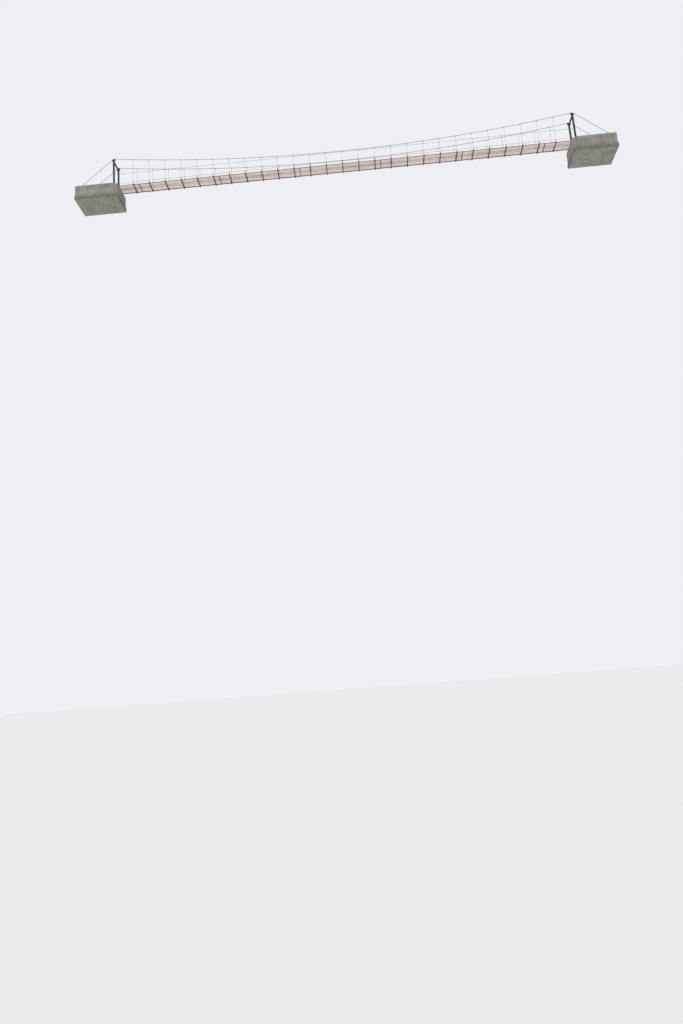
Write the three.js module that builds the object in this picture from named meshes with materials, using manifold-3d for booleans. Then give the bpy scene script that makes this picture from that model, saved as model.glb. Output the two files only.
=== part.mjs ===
// Wire-rope suspension footbridge: a straight see-through deck hung from two sagging main ropes,
// with a handrail rope on each side, steel portals at both ends and concrete abutments that hold the ropes.
// Millimetres. +X runs along the span, -Y is the near side, +Z is up.
// The origin is under the middle of the span, at the level of the abutments' feet.
import * as THREE from "three";
import { mergeVertices } from "three/addons/utils/BufferGeometryUtils.js";
import Module from "manifold-3d";

const wasm = await Module();
wasm.setup();

// Span: 28 equal bays between the end crossbeams.
const bay = 1200;
const baysEachWay = 14;
const endBeamX = bay * baysEachWay;

// Deck: steel mesh on welded ladder frames that are joined every five bays.
const deckTop = 1200;
const meshThickness = 6;
const deckHalfWidth = 500;
const angleLeg = 40;
const angleThickness = 5;
const beamDepth = 80;
const beamWidth = 60;
const beamWall = 6;
const meshGap = 0.5;
const meshInset = 4;
const meshGrid = { pitch: 500, rows: 4, rib: 90, rim: 46 };
const jointBar = { width: 20, depth: 50, gap: 1 };
const deckEndX = endBeamX + 100;
const jointsAtBays = [-12.65, -7.65, -2.65, 2.35, 7.35, 12.35];

// Main ropes: a parabola whose height above the deck grows by ropeRise for each bay squared.
const ropeY = 545;
const ropeRadius = 13;
const ropeSides = 8;
const ropeFlat = ropeRadius * Math.cos(Math.PI / ropeSides);
const ropeLow = 1000;
const ropeRise = 6.2;
const backstayAngle = THREE.MathUtils.degToRad(40);

// Hangers: a rod from a clamp on the main rope down to a flat foot on the crossbeam's end.
const hangerRadius = 8;
const hangerSides = 6;
const foot = { width: 60, thickness: 8, height: 200 };
const clamp = { length: 60, width: 44, below: 28, above: 22 };

// Handrail ropes, clipped inside the hangers and tightened at the portals.
const handrailHeight = 950;
const handrailRadius = 8;
const handrailGap = 0.3;
const handrailY = ropeY - hangerRadius - handrailGap - handrailRadius;
const ferrule = { radius: 11, length: 70 };
const turnbuckle = { length: 300, body: 150, height: 36, thickness: 16, slot: 118, opening: 20, rod: 6 };
const eyePlate = { side: 72, thickness: 10 };

// Portals.
const postX = 17050;
const postSide = 120;
const postTop = 3305;
const basePlate = { side: 240, thickness: 16 };
const baseGusset = { reach: 55, height: 120, thickness: 10 };
const topBeam = { side: 100, bottom: 3200 };
const kneePlate = { reach: 200, thickness: 12 };

// Saddles on the posts, in which each main rope bends down to its backstay.
const saddleRadius = 300;
const saddleSteps = 6;
const saddlePlate = { length: 260, width: 120, thickness: 16 };
const saddleCheek = { inside: 14, thickness: 10, above: 12 };
const seatGap = 0.3;

// Anchors: a lug with a pin, on a concrete upstand at the back of each abutment.
const eyeZ = 1386;
const upstand = { front: 19250, halfWidth: 150, top: 1300 };
const lug = { thickness: 20, radius: 45, halfFoot: 100 };
const lugPlate = { length: 260, width: 220, thickness: 16 };
const pinRadius = 12;
const pinClearance = 0.5;
const fork = { tail: 35, length: 110, halfHeight: 28, cheek: 12, gap: 0.6, bridge: 40, socket: 120 };

// Abutments.
const abutment = { front: 16650, back: 19850, halfWidth: 950, backwall: 16930 };
const footing = { halfWidth: 1100, height: 300 };
const landing = { front: 16860, back: 17160, halfWidth: 410, thickness: 6 };

const seamTolerance = 0.01;

// Heights that follow from the ones above.
const meshBottom = deckTop - meshThickness;
const beamTop = meshBottom - meshGap;
const beamBottom = beamTop - beamDepth;
const handrailZ = deckTop + handrailHeight;

const concrete = new THREE.MeshStandardMaterial({ color: 0x8f8a7e, roughness: 0.9, metalness: 0 });
const darkSteel = new THREE.MeshStandardMaterial({ color: 0x3a3430, roughness: 0.6, metalness: 0.6 });
const meshSteel = new THREE.MeshStandardMaterial({ color: 0x8a6f5c, roughness: 0.7, metalness: 0.5 });
const ropeSteel = new THREE.MeshStandardMaterial({ color: 0x5c5854, roughness: 0.5, metalness: 0.8 });
const zincSteel = new THREE.MeshStandardMaterial({ color: 0x8b8d8c, roughness: 0.5, metalness: 0.8 });

// A closed geometry as a solid that can be cut and joined.
function solidOf(geometry) {
  const bare = geometry.clone();
  bare.deleteAttribute("normal");
  bare.deleteAttribute("uv");
  const merged = mergeVertices(bare, 1e-3);
  return new wasm.Manifold(
    new wasm.Mesh({
      numProp: 3,
      vertProperties: new Float32Array(merged.attributes.position.array),
      triVerts: new Uint32Array(merged.index.array),
    }),
  );
}

function geometryOf(solid) {
  const { vertProperties, triVerts } = solid.getMesh();
  const geometry = new THREE.BufferGeometry();
  geometry.setAttribute("position", new THREE.BufferAttribute(vertProperties, 3));
  geometry.setIndex(new THREE.BufferAttribute(triVerts, 1));
  geometry.computeVertexNormals();
  return geometry;
}

// Joined solids, with the seams on flat faces taken out again.
function fused(geometries) {
  const whole = geometries.map(solidOf).reduce((sum, next) => sum.add(next));
  return geometryOf(whole.asOriginal().simplify(seamTolerance));
}

function cut(geometry, ...tools) {
  return geometryOf(tools.map(solidOf).reduce((rest, tool) => rest.subtract(tool), solidOf(geometry)));
}

function block([x0, x1], [y0, y1], [z0, z1]) {
  const geometry = new THREE.BoxGeometry(Math.abs(x1 - x0), Math.abs(y1 - y0), Math.abs(z1 - z0));
  return geometry.translate((x0 + x1) / 2, (y0 + y1) / 2, (z0 + z1) / 2);
}

// A block given by its middle and its sizes.
function blockAt(x, y, z, lengthX, lengthY, lengthZ) {
  return new THREE.BoxGeometry(lengthX, lengthY, lengthZ).translate(x, y, z);
}

// A side-view outline of [x, z] points, given thickness across the bridge around y.
function plateFrom(outline, y, thickness) {
  const settings = { depth: thickness, bevelEnabled: false, curveSegments: 8 };
  const geometry = new THREE.ExtrudeGeometry(outline, settings);
  return geometry.rotateX(Math.PI / 2).translate(0, y + thickness / 2, 0);
}

function outlineOf(points) {
  return new THREE.Shape(points.map(([x, z]) => new THREE.Vector2(x, z)));
}

function rodAlongX(x0, x1, y, z, radius, sides) {
  const geometry = new THREE.CylinderGeometry(radius, radius, x1 - x0, sides);
  return geometry.rotateZ(Math.PI / 2).translate((x0 + x1) / 2, y, z);
}

function rodAlongZ(x, y, z0, z1, radius, sides) {
  const geometry = new THREE.CylinderGeometry(radius, radius, z1 - z0, sides);
  return geometry.rotateX(Math.PI / 2).translate(x, y, (z0 + z1) / 2);
}

// The straight runs of a rope between the points where it bends, one step for each run.
class RopeRoute extends THREE.Curve {
  constructor(points) {
    super();
    this.points = points;
    this.runs = points.length - 1;
  }

  getPoint(t, target = new THREE.Vector3()) {
    const place = THREE.MathUtils.clamp(t, 0, 1) * this.runs;
    const run = Math.min(Math.floor(place), this.runs - 1);
    return target.lerpVectors(this.points[run], this.points[run + 1], place - run);
  }

  getPointAt(u, target) {
    return this.getPoint(u, target);
  }

  // At a bend this is the mean of the two runs' directions, which mitres the section there.
  getTangentAt(u, target = new THREE.Vector3()) {
    const bend = Math.round(u * this.runs);
    const before = this.direction(Math.max(bend - 1, 0));
    const after = this.direction(Math.min(bend, this.runs - 1));
    return target.addVectors(before, after).normalize();
  }

  direction(run) {
    return new THREE.Vector3().subVectors(this.points[run + 1], this.points[run]).normalize();
  }
}

function ropeSection(radius) {
  const corners = [];
  for (let i = 0; i < ropeSides; i += 1) {
    const angle = ((i + 0.5) * 2 * Math.PI) / ropeSides;
    corners.push(new THREE.Vector2(radius * Math.cos(angle), radius * Math.sin(angle)));
  }
  return new THREE.Shape(corners);
}

function mainRopeHeight(x) {
  return deckTop + ropeLow + ropeRise * (x / bay) ** 2;
}

// The arc over the right-hand saddle: it starts where the parabola's own slope meets it.
function saddleArc() {
  const arcLean = Math.atan((2 * ropeRise * (endBeamX / bay)) / bay);
  const reachFront = saddleRadius * Math.sin(arcLean);
  const reachBack = saddleRadius * Math.sin(backstayAngle);
  const centreX = postX - (reachBack - reachFront) / 2;
  const startX = centreX - reachFront;
  const centreZ = mainRopeHeight(startX) - saddleRadius * Math.cos(arcLean);
  return { arcLean, centreX, centreZ };
}

// Points on a circle around the saddle's centre, from the span to the backstay.
function saddlePoints(radius) {
  const { arcLean, centreX, centreZ } = saddleArc();
  const points = [];
  for (let i = 0; i <= saddleSteps; i += 1) {
    const angle = -arcLean + ((backstayAngle + arcLean) * i) / saddleSteps;
    points.push([centreX + radius * Math.sin(angle), centreZ + radius * Math.cos(angle)]);
  }
  return points;
}

// Where the right-hand backstay meets its pin.
function anchorEye() {
  const [x, z] = saddlePoints(saddleRadius).at(-1);
  return { x: x + (z - eyeZ) / Math.tan(backstayAngle), z: eyeZ };
}

// A point on the right-hand backstay, at a distance up from the pin.
function onBackstay(distance) {
  const eye = anchorEye();
  return [eye.x - distance * Math.cos(backstayAngle), eye.z + distance * Math.sin(backstayAngle)];
}

// One main rope from pin to pin, as a single length over both saddles.
function mainRope(y) {
  const ropeEnd = fork.length + fork.socket / 2;
  const right = [...saddlePoints(saddleRadius), onBackstay(ropeEnd)];
  const left = right.map(([x, z]) => [-x, z]).reverse();
  const span = hangerPlaces().map((x) => [x, mainRopeHeight(x)]);
  const points = [...left, ...span, ...right].map(([x, z]) => new THREE.Vector3(x, y, z));
  const route = new RopeRoute(points);
  return new THREE.ExtrudeGeometry(ropeSection(ropeRadius), { steps: route.runs, extrudePath: route });
}

function hangerPlaces() {
  const places = [];
  for (let k = 1 - baysEachWay; k < baysEachWay; k += 1) places.push(k * bay);
  return places;
}

// One hanger: the clamp on the rope, the rod and the flat foot that is bolted to the crossbeam's end.
function hanger(x, y) {
  const ropeZ = mainRopeHeight(x);
  const footTop = beamBottom + foot.height;
  const overlap = 60;
  const clampZ = ropeZ + (clamp.above - clamp.below) / 2;
  return [
    blockAt(x, y, clampZ, clamp.length, clamp.width, clamp.above + clamp.below),
    rodAlongZ(x, y, footTop - overlap, ropeZ, hangerRadius, hangerSides),
    blockAt(x, y, (beamBottom + footTop) / 2, foot.width, foot.thickness, foot.height),
  ];
}

// The forked socket on a backstay's lower end, with its pin. side is -1 for the left end of the bridge.
function forkedSocket(side, y) {
  const outer = lug.thickness / 2 + fork.gap + fork.cheek;
  const cheekY = outer - fork.cheek / 2;
  const height = 2 * fork.halfHeight;
  const cheekLength = fork.tail + fork.length;
  const cone = new THREE.CylinderGeometry(ropeRadius + 3, outer, fork.socket, ropeSides);
  const pieces = [
    blockAt(cheekLength / 2 - fork.tail, cheekY, 0, cheekLength, fork.cheek, height),
    blockAt(cheekLength / 2 - fork.tail, -cheekY, 0, cheekLength, fork.cheek, height),
    blockAt(fork.length - fork.bridge / 2 + 10, 0, 0, fork.bridge, 2 * outer, height),
    cone.rotateZ(-Math.PI / 2).translate(fork.length + fork.socket / 2, 0, 0),
    new THREE.CylinderGeometry(pinRadius, pinRadius, 2 * outer + 16, 12),
  ];
  const eye = anchorEye();
  const turn = side > 0 ? Math.PI - backstayAngle : backstayAngle;
  return pieces.map((piece) => piece.rotateY(-turn).translate(side * eye.x, y, eye.z));
}

function mainRopeWithHangers(y) {
  const hangers = hangerPlaces().flatMap((x) => hanger(x, y));
  return fused([mainRope(y), ...hangers, ...forkedSocket(-1, y), ...forkedSocket(1, y)]);
}

function handrail(y) {
  const end = postX - postSide / 2 - turnbuckle.length;
  const route = new RopeRoute([new THREE.Vector3(-end, y, handrailZ), new THREE.Vector3(end, y, handrailZ)]);
  return fused([
    new THREE.ExtrudeGeometry(ropeSection(handrailRadius), { steps: 1, extrudePath: route }),
    rodAlongX(-end, ferrule.length - end, y, handrailZ, ferrule.radius, ropeSides),
    rodAlongX(end - ferrule.length, end, y, handrailZ, ferrule.radius, ropeSides),
  ]);
}

// The tightener between a handrail rope's end and its post: a slotted body, two rods and an eye plate.
function handrailTurnbuckle(side, y) {
  const face = postX - postSide / 2;
  const start = face - turnbuckle.length;
  const middle = (start + face) / 2;
  const body = cut(
    blockAt(middle, y, handrailZ, turnbuckle.body, turnbuckle.thickness, turnbuckle.height),
    blockAt(middle, y, handrailZ, turnbuckle.slot, 2 * turnbuckle.thickness, turnbuckle.opening),
  );
  const bodyEnd = (turnbuckle.body - turnbuckle.slot) / 4 + turnbuckle.slot / 2;
  const whole = fused([
    body,
    rodAlongX(start, middle - bodyEnd, y, handrailZ, turnbuckle.rod, ropeSides),
    rodAlongX(middle + bodyEnd, face, y, handrailZ, turnbuckle.rod, ropeSides),
    blockAt(face - eyePlate.thickness / 2, y, handrailZ, eyePlate.thickness, eyePlate.side, eyePlate.side),
  ]);
  return side > 0 ? whole : whole.rotateZ(Math.PI).translate(0, 2 * y, 0);
}

// A channel that runs across the bridge, from one row of hangers to the other.
function crossbeam(x) {
  const halfLength = ropeY - foot.thickness / 2;
  const x0 = x - beamWidth / 2;
  const x1 = x + beamWidth / 2;
  const outline = outlineOf([
    [x0, beamBottom],
    [x1, beamBottom],
    [x1, beamBottom + beamWall],
    [x0 + beamWall, beamBottom + beamWall],
    [x0 + beamWall, beamTop - beamWall],
    [x1, beamTop - beamWall],
    [x1, beamTop],
    [x0, beamTop],
  ]);
  return plateFrom(outline, 0, 2 * halfLength);
}

// The edge angle on one side of a frame: one leg lies under the mesh, the other hangs down outside.
function edgeAngle(x0, x1, side) {
  const outer = side * deckHalfWidth;
  const inner = outer - side * angleThickness;
  const toe = outer - side * angleLeg;
  const legBottom = meshBottom - angleThickness;
  const outline = outlineOf([
    [toe, meshBottom],
    [outer, meshBottom],
    [outer, meshBottom - angleLeg],
    [inner, meshBottom - angleLeg],
    [inner, legBottom],
    [toe, legBottom],
  ]);
  return plateFrom(outline, 0, x1 - x0).rotateZ(Math.PI / 2).translate((x0 + x1) / 2, 0, 0);
}

function endBar(x0, x1) {
  const half = deckHalfWidth - angleThickness / 2;
  return block([x0, x1], [-half, half], [beamTop - jointBar.depth, beamTop]);
}

function beamPlaces(x0, x1) {
  const places = [];
  for (let k = -baysEachWay; k <= baysEachWay; k += 1) {
    if (k * bay > x0 && k * bay < x1) places.push(k * bay);
  }
  return places;
}

function deckFrame(x0, x1) {
  return fused([
    edgeAngle(x0, x1, -1),
    edgeAngle(x0, x1, 1),
    endBar(x0 + jointBar.gap, x0 + jointBar.gap + jointBar.width),
    endBar(x1 - jointBar.gap - jointBar.width, x1 - jointBar.gap),
    ...beamPlaces(x0, x1).map(crossbeam),
  ]);
}

// One sheet of the deck. Its coarse grid is about as open as the fine diamonds of the real mesh.
function deckMesh(x0, x1) {
  const start = x0 + jointBar.gap;
  const end = x1 - jointBar.gap;
  const half = deckHalfWidth - meshInset;
  const columns = Math.round((end - start) / meshGrid.pitch);
  const rows = openingsBetween(-half, half, meshGrid.rows);
  const depth = [meshBottom - meshThickness, deckTop + meshThickness];
  const openings = openingsBetween(start, end, columns).flatMap((x) => rows.map((y) => block(x, y, depth)));
  return cut(block([start, end], [-half, half], [meshBottom, deckTop]), ...openings);
}

// The ranges of equal openings between two rims, with a rib between each and the next.
function openingsBetween(low, high, count) {
  const opening = (high - low - 2 * meshGrid.rim - (count - 1) * meshGrid.rib) / count;
  const ranges = [];
  for (let i = 0; i < count; i += 1) {
    const start = low + meshGrid.rim + i * (opening + meshGrid.rib);
    ranges.push([start, start + opening]);
  }
  return ranges;
}

function post(y) {
  const plateTop = deckTop + basePlate.thickness;
  const half = postSide / 2;
  const gusset = (direction) =>
    plateFrom(
      outlineOf([
        [direction * (half - 1), plateTop - 1],
        [direction * (half + baseGusset.reach), plateTop - 1],
        [direction * (half - 1), plateTop + baseGusset.height],
      ]),
      y,
      baseGusset.thickness,
    ).translate(postX, 0, 0);
  return fused([
    blockAt(postX, y, (plateTop + postTop) / 2, postSide, postSide, postTop - plateTop),
    blockAt(postX, y, deckTop + basePlate.thickness / 2, basePlate.side, basePlate.side, basePlate.thickness),
    gusset(-1),
    gusset(1),
  ]);
}

// The beam between the posts' heads, with a knee plate under each end.
function portalBeam() {
  const halfLength = ropeY - postSide / 2;
  const knee = (side) => {
    const outline = outlineOf([
      [side * halfLength, topBeam.bottom + 1],
      [side * (halfLength - kneePlate.reach), topBeam.bottom + 1],
      [side * halfLength, topBeam.bottom - kneePlate.reach],
    ]);
    return plateFrom(outline, 0, kneePlate.thickness).rotateZ(Math.PI / 2).translate(postX, 0, 0);
  };
  return fused([
    blockAt(postX, 0, topBeam.bottom + topBeam.side / 2, topBeam.side, 2 * halfLength, topBeam.side),
    knee(-1),
    knee(1),
  ]);
}

function saddle(y) {
  const plateTop = postTop + saddlePlate.thickness;
  const { length, width, thickness } = saddlePlate;
  const footHalf = length / 2 - 5;
  const profile = (radius) =>
    outlineOf([[postX - footHalf, plateTop - 1], ...saddlePoints(radius), [postX + footHalf, plateTop - 1]]);
  const bed = saddleRadius - ropeFlat - seatGap;
  const cheekY = saddleCheek.inside + saddleCheek.thickness / 2;
  const cheek = profile(saddleRadius + saddleCheek.above);
  return fused([
    blockAt(postX, y, postTop + thickness / 2, length, width, thickness),
    plateFrom(profile(bed), y, 2 * saddleCheek.inside + 2),
    plateFrom(cheek, y - cheekY, saddleCheek.thickness),
    plateFrom(cheek, y + cheekY, saddleCheek.thickness),
  ]);
}

function anchorLug(y) {
  const eye = anchorEye();
  const plateTop = upstand.top + lugPlate.thickness;
  const shape = new THREE.Shape();
  shape.moveTo(-lug.halfFoot, plateTop - 1);
  shape.lineTo(lug.halfFoot, plateTop - 1);
  shape.lineTo(lug.radius, eye.z);
  shape.absarc(0, eye.z, lug.radius, 0, Math.PI, false);
  const holeRadius = pinRadius + pinClearance;
  const pinHole = new THREE.CylinderGeometry(holeRadius, holeRadius, 4 * lug.thickness, 12);
  const plate = cut(plateFrom(shape, 0, lug.thickness), pinHole.translate(0, 0, eye.z));
  return fused([
    plate,
    blockAt(0, 0, upstand.top + lugPlate.thickness / 2, lugPlate.length, lugPlate.width, lugPlate.thickness),
  ]).translate(eye.x, y, 0);
}

function abutmentBlock() {
  const outline = outlineOf([
    [abutment.front, 0],
    [abutment.back, 0],
    [abutment.back, deckTop],
    [abutment.backwall, deckTop],
    [abutment.backwall, beamBottom],
    [abutment.front, beamBottom],
  ]);
  const upstandAt = (y) => {
    const width = [y - upstand.halfWidth, y + upstand.halfWidth];
    return block([upstand.front, abutment.back], width, [deckTop - 100, upstand.top]);
  };
  return fused([
    plateFrom(outline, 0, 2 * abutment.halfWidth),
    block([abutment.front, abutment.back], [-footing.halfWidth, footing.halfWidth], [0, footing.height]),
    upstandAt(-ropeY),
    upstandAt(ropeY),
  ]);
}

function landingPlate() {
  const { front, back, halfWidth, thickness } = landing;
  return block([front, back], [-halfWidth, halfWidth], [deckTop, deckTop + thickness]);
}

const bridge = new THREE.Group();

function place(name, geometry, material, parent) {
  const mesh = new THREE.Mesh(geometry, material);
  mesh.name = name;
  parent.add(mesh);
}

// The right end is as modelled, and the left end is turned half round.
for (const [end, turn] of [["left", Math.PI], ["right", 0]]) {
  const group = new THREE.Group();
  group.rotation.z = turn;
  bridge.add(group);
  place(`${end}_abutment`, abutmentBlock(), concrete, group);
  place(`${end}_landing_plate`, landingPlate(), zincSteel, group);
  place(`${end}_portal_beam`, portalBeam(), darkSteel, group);
  for (const side of ["near", "far"]) {
    const sign = (side === "near" ? -1 : 1) * (turn ? -1 : 1);
    place(`${end}_${side}_post`, post(sign * ropeY), darkSteel, group);
    place(`${end}_${side}_saddle`, saddle(sign * ropeY), darkSteel, group);
    place(`${end}_${side}_anchor`, anchorLug(sign * ropeY), zincSteel, group);
  }
}

for (const [side, sign] of [["near", -1], ["far", 1]]) {
  place(`${side}_main_rope`, mainRopeWithHangers(sign * ropeY), ropeSteel, bridge);
  place(`${side}_handrail`, handrail(sign * handrailY), ropeSteel, bridge);
  place(`left_${side}_turnbuckle`, handrailTurnbuckle(-1, sign * handrailY), zincSteel, bridge);
  place(`right_${side}_turnbuckle`, handrailTurnbuckle(1, sign * handrailY), zincSteel, bridge);
}

const frameEnds = [-deckEndX, ...jointsAtBays.map((bays) => bays * bay), deckEndX];
frameEnds.slice(1).forEach((x1, i) => {
  const x0 = frameEnds[i];
  place(`deck_frame_${i + 1}`, deckFrame(x0, x1), darkSteel, bridge);
  place(`deck_mesh_${i + 1}`, deckMesh(x0, x1), meshSteel, bridge);
});

export default bridge;
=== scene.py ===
"""Dresses the model of a wire-rope suspension footbridge: laid ropes, clamps, open deck mesh and finishes.

Metres. +X runs along the span, -Y is the near side and +Z is up, as in the model. What stands at an end
is drawn for the right-hand end, and turned half round for the left-hand one.
"""

import math
import random

import bmesh
import bpy
from bpy.props import FloatProperty, FloatVectorProperty, IntProperty, PointerProperty
from bpy.types import Operator, Panel, PropertyGroup
from mathutils import Matrix, Vector


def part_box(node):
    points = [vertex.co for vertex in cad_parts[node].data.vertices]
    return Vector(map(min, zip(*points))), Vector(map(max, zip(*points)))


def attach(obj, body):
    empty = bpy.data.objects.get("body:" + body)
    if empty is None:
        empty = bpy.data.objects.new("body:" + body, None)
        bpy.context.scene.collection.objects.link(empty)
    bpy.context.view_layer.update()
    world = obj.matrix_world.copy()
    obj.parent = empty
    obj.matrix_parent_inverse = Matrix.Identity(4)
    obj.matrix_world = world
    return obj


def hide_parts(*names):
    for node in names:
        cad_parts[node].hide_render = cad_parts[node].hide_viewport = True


bl_info = {
    "name": "Rope suspension footbridge",
    "version": (1, 0, 0),
    "blender": (4, 5, 0),
    "location": "3D View > Sidebar > Footbridge",
    "description": "Builds the ropes, hangers, deck mesh, portals and abutments of a footbridge",
    "category": "Object",
}

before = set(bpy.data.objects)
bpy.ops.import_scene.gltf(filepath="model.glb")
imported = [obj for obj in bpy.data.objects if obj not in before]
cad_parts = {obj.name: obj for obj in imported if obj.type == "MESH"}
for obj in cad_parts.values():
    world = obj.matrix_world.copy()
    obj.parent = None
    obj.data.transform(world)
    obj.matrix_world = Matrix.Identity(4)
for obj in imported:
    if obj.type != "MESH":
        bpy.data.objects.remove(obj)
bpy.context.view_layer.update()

SIDES = {"near": -1, "far": 1}
ENDS = ("left", "right")

# The model's own sizes: the deck, and the joints of its frames.
BAY = 1.2
BAYS_EACH_WAY = 14
DECK_TOP = 1.2
BEAM_BOTTOM = 1.1135
JOINTS = [bays * BAY for bays in (-12.65, -7.65, -2.65, 2.35, 7.35, 12.35)]
JOINT_BOLT_Z = 1.168

# The ropes. The main ones hang at ROPE_LOW above the deck and rise by ROPE_RISE for each bay squared.
# They end inside their sockets, at ROPE_END up from the pins.
ROPE_Y = 0.545
ROPE_LOW = 1.0
ROPE_RISE = 0.0062
BACKSTAY_ANGLE = math.radians(40)
SADDLE_RADIUS = 0.3
EYE_Z = 1.386
ROPE_END = 0.17
HANDRAIL_Y = 0.5287
HANDRAIL_Z = 2.15
TURNBUCKLE_LENGTH = 0.3

# The portals. Base plates, saddle plates and anchor plates have one thickness.
POST_X = 17.05
POST_SIDE = 0.12
POST_FACE = POST_X - POST_SIDE / 2
POST_TOP = 3.305
POST_ROUNDING = 0.014
BASE_PLATE_SIDE = 0.24
PLATE_THICKNESS = 0.016
PORTAL_BEAM_Z = 3.25
PORTAL_BEAM_SIDE = 0.1
KNEE_REACH = 0.2

# The abutments and the plates that bridge the gap to the deck.
ABUTMENT_FRONT = 16.65
ABUTMENT_BACK = 19.85
BACKWALL_FRONT = 16.93
STEM_WIDTH = 1.9
FOOTING_TOP = 0.3
FOOTING_HALF_WIDTH = 1.1
UPSTAND_FRONT = 19.25
UPSTAND_HALF_WIDTH = 0.15
UPSTAND_TOP = 1.3
LANDING_START = 16.86
LANDING_END = 17.16
LANDING_HALF_WIDTH = 0.41
LANDING_TOP = DECK_TOP + 0.006

# The trodden, clogged strip along the deck, a little off its middle.
TRODDEN_MIDDLE = -0.01
TRODDEN_REACH = 0.17
DIRT_SEED = 28

# The boards that the concrete was cast against. The lowest one starts below the ground.
BOARD_HEIGHT = 0.15
LOWEST_BOARD_Z = -0.07

# The floors, level with the abutments' feet and below the camera.
FLOOR_Z = -0.001
LOWER_FLOOR_Z = -38.0

# The photograph's viewpoint. The lens and the sensor are in millimetres.
CAMERA_PLACE = (0.08, -52.49, -36.46)
CAMERA_YAW = math.radians(-2.27)
CAMERA_PITCH = math.radians(12.45)
CAMERA_ROLL = math.radians(-4.26)
LENS = 28.125
SENSOR = 36.0


def length_choice(name, description, default, low, high):
    """A length in metres that a user may set between two limits."""
    return FloatProperty(
        name=name, description=description, default=default, min=low, max=high, unit="LENGTH"
    )


def colour_choice(name, description, default):
    """A colour that a user may set."""
    return FloatVectorProperty(
        name=name, description=description, default=default, min=0.0, max=1.0, subtype="COLOR"
    )


class FootbridgeSizes(PropertyGroup):
    """The sizes that a user would change."""

    rope_radius: length_choice(
        "Main rope radius", "Radius over the strands of each main rope", 0.0132, 0.008, 0.02
    )
    handrail_radius: length_choice(
        "Handrail rope radius", "Radius over the strands of each handrail rope", 0.0082, 0.005, 0.012
    )
    lay_ratio: FloatProperty(
        name="Lay length",
        description="Length of one full turn of a strand, in rope diameters",
        default=6.5,
        min=4.0,
        max=10.0,
    )
    strands: IntProperty(
        name="Strands", description="Strands laid around each rope's core", default=6, min=3, max=8
    )
    mesh_long: length_choice(
        "Mesh opening, along", "Length along the bridge of one diamond of the deck mesh", 0.075, 0.04, 0.12
    )
    mesh_short: length_choice(
        "Mesh opening, across", "Width across the bridge of one diamond of the mesh", 0.0367, 0.02, 0.06
    )
    strand_width: length_choice(
        "Mesh strand width", "Width of the steel strands of the deck mesh", 0.0068, 0.003, 0.012
    )
    strand_depth: length_choice(
        "Mesh strand depth", "Depth of the steel strands of the deck mesh", 0.0037, 0.002, 0.006
    )
    clogged: FloatProperty(
        name="Clogged openings",
        description="Share of the openings' corners in the trodden strip that are filled with dirt",
        default=0.95,
        min=0.0,
        max=1.0,
        subtype="FACTOR",
    )
    chamfer: length_choice(
        "Concrete chamfer", "Width of the chamfer along the edges of the concrete", 0.02, 0.0, 0.05
    )


class FootbridgeColours(PropertyGroup):
    """The colours that a user would change."""

    concrete: colour_choice("Concrete", "Colour of clean concrete", (0.36, 0.34, 0.30))
    stain: colour_choice("Rain stain", "Colour of the rain's stains on concrete", (0.13, 0.12, 0.10))
    moss: colour_choice("Moss", "Colour of the moss at the foot of the concrete", (0.075, 0.10, 0.03))
    paint: colour_choice("Dark paint", "Colour of the painted steel", (0.032, 0.027, 0.024))
    rust: colour_choice("Rust", "Colour of rust on bare steel", (0.17, 0.062, 0.024))
    # The deck mesh's underside colour is dusty rust brightened with painted light, for the sky that glows
    # on the strands.
    mesh: colour_choice(
        "Deck mesh", "Colour of the dusty rust on the underside of the deck mesh", (0.88, 0.47, 0.21)
    )
    trodden: colour_choice(
        "Trodden mesh", "Colour of the top of the deck mesh, where use has worn it", (0.15, 0.10, 0.07)
    )
    dirt: colour_choice("Dirt", "Colour of the dry earth that clogs the deck mesh", (0.43, 0.215, 0.105))
    rope: colour_choice("Wire rope", "Colour of the weathered wire rope", (0.085, 0.075, 0.066))
    zinc: colour_choice("Galvanised steel", "Colour of the galvanised fittings", (0.34, 0.35, 0.35))
    floor: colour_choice("Floor", "Colour of the plain floor", (0.72, 0.72, 0.71))


def sizes():
    return bpy.context.scene.footbridge_sizes


def colours():
    return bpy.context.scene.footbridge_colours


# Shader maths.


class Value:
    """A shader socket that sums and products can be written with."""

    def __init__(self, finish, socket):
        self.finish = finish
        self.socket = socket

    def __add__(self, other):
        return self.finish.maths("ADD", self, other)

    def __radd__(self, other):
        return self.finish.maths("ADD", other, self)

    def __sub__(self, other):
        return self.finish.maths("SUBTRACT", self, other)

    def __rsub__(self, other):
        return self.finish.maths("SUBTRACT", other, self)

    def __mul__(self, other):
        return self.finish.maths("MULTIPLY", self, other)

    def __rmul__(self, other):
        return self.finish.maths("MULTIPLY", other, self)

    def __truediv__(self, other):
        return self.finish.maths("DIVIDE", self, other)

    def __rtruediv__(self, other):
        return self.finish.maths("DIVIDE", other, self)


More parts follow.
